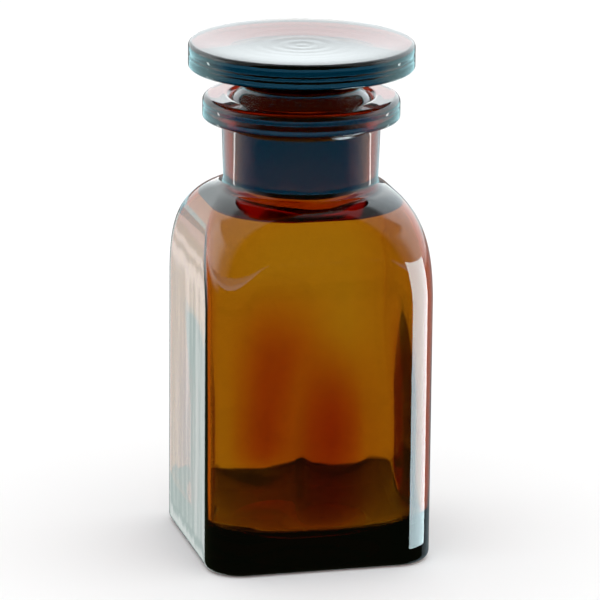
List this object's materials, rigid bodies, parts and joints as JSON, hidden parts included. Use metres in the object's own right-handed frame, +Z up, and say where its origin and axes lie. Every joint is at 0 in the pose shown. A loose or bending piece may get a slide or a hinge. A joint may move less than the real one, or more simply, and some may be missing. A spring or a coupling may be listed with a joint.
{
  "type": "reagent bottle",
  "caption": "Square amber glass reagent bottle with domed shoulder, round flat-lipped neck and a flat disc-headed ground-glass stopper that lifts out.",
  "frame": {"origin": "centre of the base, on the surface that the bottle stands on", "axes": "+Z up along the bottle's and the stopper's axis; the flat sides face +X, -X, +Y and -Y"},
  "size_m": [0.047, 0.047, 0.1052],
  "materials": {
    "bottle_glass": "clear amber glass, fire-polished outside and in, with the bore of the neck ground to a fine matt",
    "stopper_glass": "pressed amber glass, polished head and waist, with the plug ground to a fine matt"
  },
  "bodies": {
    "bottle": {"bottle": "bottle_glass"},
    "stopper": {"stopper": "stopper_glass"}
  },
  "joints": [
    {"name": "stopper_lift", "type": "slide", "parent": "bottle", "child": "stopper", "axis": [0, 0, 1], "range_m": [0, 0.04]}
  ]
}
